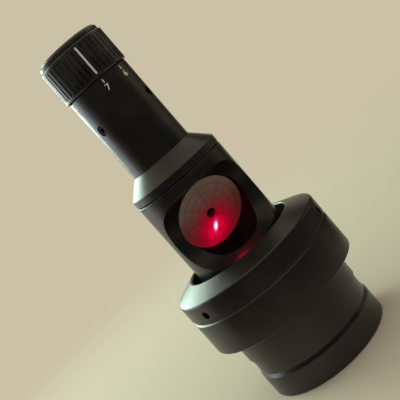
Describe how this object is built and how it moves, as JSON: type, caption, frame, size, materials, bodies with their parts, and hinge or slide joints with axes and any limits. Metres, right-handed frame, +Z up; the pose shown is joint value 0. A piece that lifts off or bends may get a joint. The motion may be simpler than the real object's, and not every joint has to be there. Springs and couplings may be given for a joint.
{
  "type": "telescope alignment laser",
  "caption": "Telescope alignment laser with a side window over a tilted ringed target, a coned collar, a rear tube with dimmer knob, and a twist-lock adapter barrel below.",
  "frame": {"origin": "centre of the adapter barrel's lower end", "axes": "+Z up the optical axis towards the battery cap, -Y the way the viewing window faces"},
  "size_m": [0.0632, 0.0632, 0.1459],
  "materials": {
    "black_anodised": "black anodised, fine turned satin",
    "black_knurl": "black anodised over straight knurling",
    "black_flat": "matt black anodised inside the beam's way",
    "target_print": "matt printed plate with rings and spokes",
    "black_nylon": "moulded nylon washer",
    "black_steel": "black oxide steel screw",
    "brass": "turned brass",
    "gilt": "gold plated",
    "steel": "bright steel",
    "black_rubber": "moulded rubber",
    "lens_glass": "polished",
    "board_green": "solder masked circuit board",
    "chip_black": "moulded epoxy",
    "switch_plastic": "moulded plastic",
    "insulator_film": "cut plastic film"
  },
  "bodies": {
    "adapter": {"two_inch_barrel": "black_anodised", "clamp_body": "black_anodised", "slip_washer": "black_nylon"},
    "twist_ring": {"twist_ring": "black_anodised", "ring_screws": "black_steel"},
    "clamp_pin_1": {"clamp_pin_1": "brass"},
    "clamp_pin_2": {"clamp_pin_2": "brass"},
    "clamp_pin_3": {"clamp_pin_3": "brass"},
    "glide": {"seat_washer": "black_nylon"},
    "laser": {"nose_barrel": "black_anodised", "window_body": "black_anodised", "target_block": "black_flat", "target_plate": "target_print", "target_screws": "black_steel", "aperture_disc": "black_flat", "lock_collar": "black_anodised", "laser_housing": "black_anodised", "module_sleeve": "brass", "laser_diode": "gilt", "collimating_lens": "lens_glass", "lens_nut": "brass", "module_ring": "black_rubber", "driver_board": "board_green", "board_parts": "chip_black", "contact_pin": "gilt", "switch_wafer": "switch_plastic", "knob_clip": "steel"},
    "adjust_screw_1": {"adjust_screw_1": "black_steel"},
    "adjust_screw_2": {"adjust_screw_2": "black_steel"},
    "adjust_screw_3": {"adjust_screw_3": "black_steel"},
    "knob": {"dimmer_knob": "black_knurl", "switch_shaft": "steel", "cell_insulator": "insulator_film", "coin_cell": "steel"},
    "cap_seal": {"cap_seal": "black_rubber"},
    "battery_cap": {"battery_cap": "black_anodised", "cell_spring": "steel"}
  },
  "joints": [
    {"name": "ring_twist", "type": "hinge", "parent": "adapter", "child": "twist_ring", "pos_m": [0, 0, 0.045], "axis": [0, 0, 1], "range_deg": [0, 45]},
    {"name": "laser_turn", "type": "hinge", "parent": "adapter", "child": "glide", "pos_m": [0, 0, 0.0466], "axis": [0, 0, 1], "continuous": true},
    {"name": "laser_lift", "type": "slide", "parent": "glide", "child": "laser", "axis": [0, 0, 1], "range_m": [0, 0.045]},
    {"name": "knob_turn", "type": "hinge", "parent": "laser", "child": "knob", "pos_m": [0, 0, 0.135], "axis": [0, 0, 1], "range_deg": [0, 280]},
    {"name": "cap_rise", "type": "slide", "parent": "knob", "child": "cap_seal", "axis": [0, 0, 1], "range_m": [0, 0.003]},
    {"name": "cap_turn", "type": "hinge", "parent": "cap_seal", "child": "battery_cap", "pos_m": [0, 0, 0.144], "axis": [0, 0, 1], "range_deg": [0, 1080]},
    {"name": "pin_slide_1", "type": "slide", "parent": "adapter", "child": "clamp_pin_1", "axis": [0, 1, 0], "range_m": [0, 0.0005]},
    {"name": "adjust_turn_1", "type": "hinge", "parent": "laser", "child": "adjust_screw_1", "pos_m": [0, 0.01, 0.1155], "axis": [0, 1, 0], "range_deg": [-180, 180]},
    {"name": "pin_slide_2", "type": "slide", "parent": "adapter", "child": "clamp_pin_2", "axis": [-0.866, -0.5, 0], "range_m": [0, 0.0005]},
    {"name": "adjust_turn_2", "type": "hinge", "parent": "laser", "child": "adjust_screw_2", "pos_m": [-0.00866, -0.005, 0.1155], "axis": [-0.866, -0.5, 0], "range_deg": [-180, 180]},
    {"name": "pin_slide_3", "type": "slide", "parent": "adapter", "child": "clamp_pin_3", "axis": [0.866, -0.5, 0], "range_m": [0, 0.0005]},
    {"name": "adjust_turn_3", "type": "hinge", "parent": "laser", "child": "adjust_screw_3", "pos_m": [0.00866, -0.005, 0.1155], "axis": [0.866, -0.5, 0], "range_deg": [-180, 180]}
  ],
  "couplings": [
    {"joint": "cap_rise", "follows": "cap_turn", "m_per_rad": 0.000159},
    {"joint": "pin_slide_1", "follows": "ring_twist", "m_per_rad": 0.000636},
    {"joint": "pin_slide_2", "follows": "ring_twist", "m_per_rad": 0.000636},
    {"joint": "pin_slide_3", "follows": "ring_twist", "m_per_rad": 0.000636}
  ]
}
